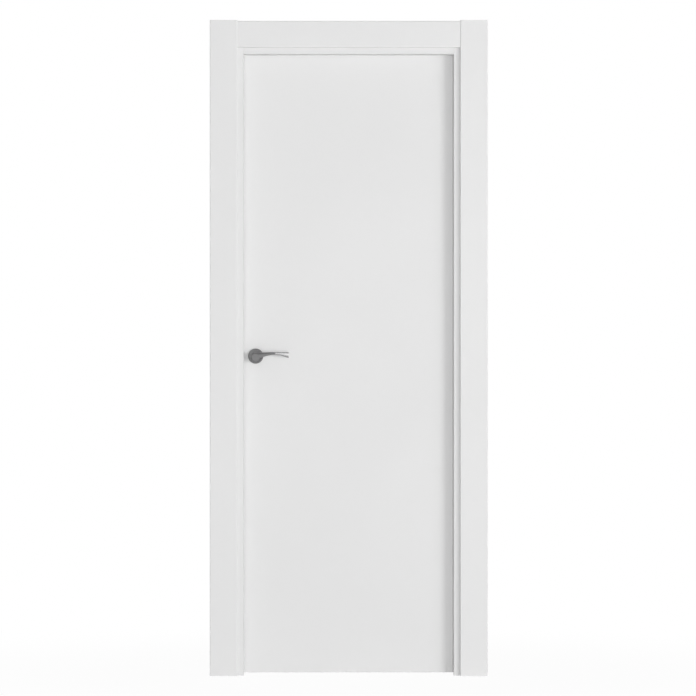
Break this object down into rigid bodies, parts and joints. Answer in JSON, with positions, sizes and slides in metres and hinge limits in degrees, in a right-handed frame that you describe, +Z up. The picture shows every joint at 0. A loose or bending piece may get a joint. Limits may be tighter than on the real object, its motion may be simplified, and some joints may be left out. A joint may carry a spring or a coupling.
{
  "type": "interior door with frame",
  "caption": "Flush white interior door leaf hung in a rebated frame with flat casings, butt hinges and a lever handle on round roses.",
  "frame": {"origin": "on the outer face of the hinge jamb, which is fixed to the wall, at its foot and halfway through the wall's thickness", "axes": "+Z up from the floor, +X from the leaf towards the wall on the hinge side, +Y towards the side that the leaf swings out to"},
  "size_m": [0.899, 0.1595, 2.123],
  "materials": {
    "leaf_lacquer": "satin white lacquer",
    "frame_lacquer": "satin white lacquer",
    "core_board": "bare board",
    "seal": "matt",
    "hinge_steel": "satin",
    "lever_metal": "satin grey metal"
  },
  "bodies": {
    "frame": {"hinge_jamb": "frame_lacquer", "lock_jamb": "frame_lacquer", "head_jamb": "frame_lacquer", "hinge_stop": "frame_lacquer", "lock_stop": "frame_lacquer", "head_stop": "frame_lacquer", "hinge_seal": "seal", "lock_seal": "seal", "head_seal": "seal", "front_casing_hinge_side": "frame_lacquer", "front_casing_lock_side": "frame_lacquer", "front_casing_head": "frame_lacquer", "back_casing_hinge_side": "frame_lacquer", "back_casing_lock_side": "frame_lacquer", "back_casing_head": "frame_lacquer", "strike_plate": "hinge_steel", "hinge_1_frame_plate": "hinge_steel", "hinge_2_frame_plate": "hinge_steel", "hinge_3_frame_plate": "hinge_steel", "hinge_1_pin": "hinge_steel", "hinge_2_pin": "hinge_steel", "hinge_3_pin": "hinge_steel"},
    "leaf": {"leaf_core": "core_board", "leaf_front_skin": "leaf_lacquer", "leaf_back_skin": "leaf_lacquer", "leaf_lock_band": "leaf_lacquer", "leaf_hinge_band": "leaf_lacquer", "leaf_top_band": "leaf_lacquer", "latch_faceplate": "hinge_steel", "latch_case": "hinge_steel", "latch_bolt": "hinge_steel", "front_rose": "lever_metal", "back_rose": "lever_metal", "hinge_1_leaf_plate": "hinge_steel", "hinge_2_leaf_plate": "hinge_steel", "hinge_3_leaf_plate": "hinge_steel"},
    "handle": {"front_lever": "lever_metal", "back_lever": "lever_metal", "spindle": "hinge_steel"}
  },
  "joints": [
    {"name": "leaf_swing", "type": "hinge", "parent": "frame", "child": "leaf", "pos_m": [-0.0325, 0.051, 1.035], "axis": [0, 0, -1], "range_deg": [0, 130]},
    {"name": "lever_turn", "type": "hinge", "parent": "leaf", "child": "handle", "pos_m": [-0.7, 0.0275, 1.035], "axis": [0, 1, 0], "range_deg": [0, 45], "stiffness_Nm_per_rad": 1.5, "springref_deg": -28.65}
  ]
}
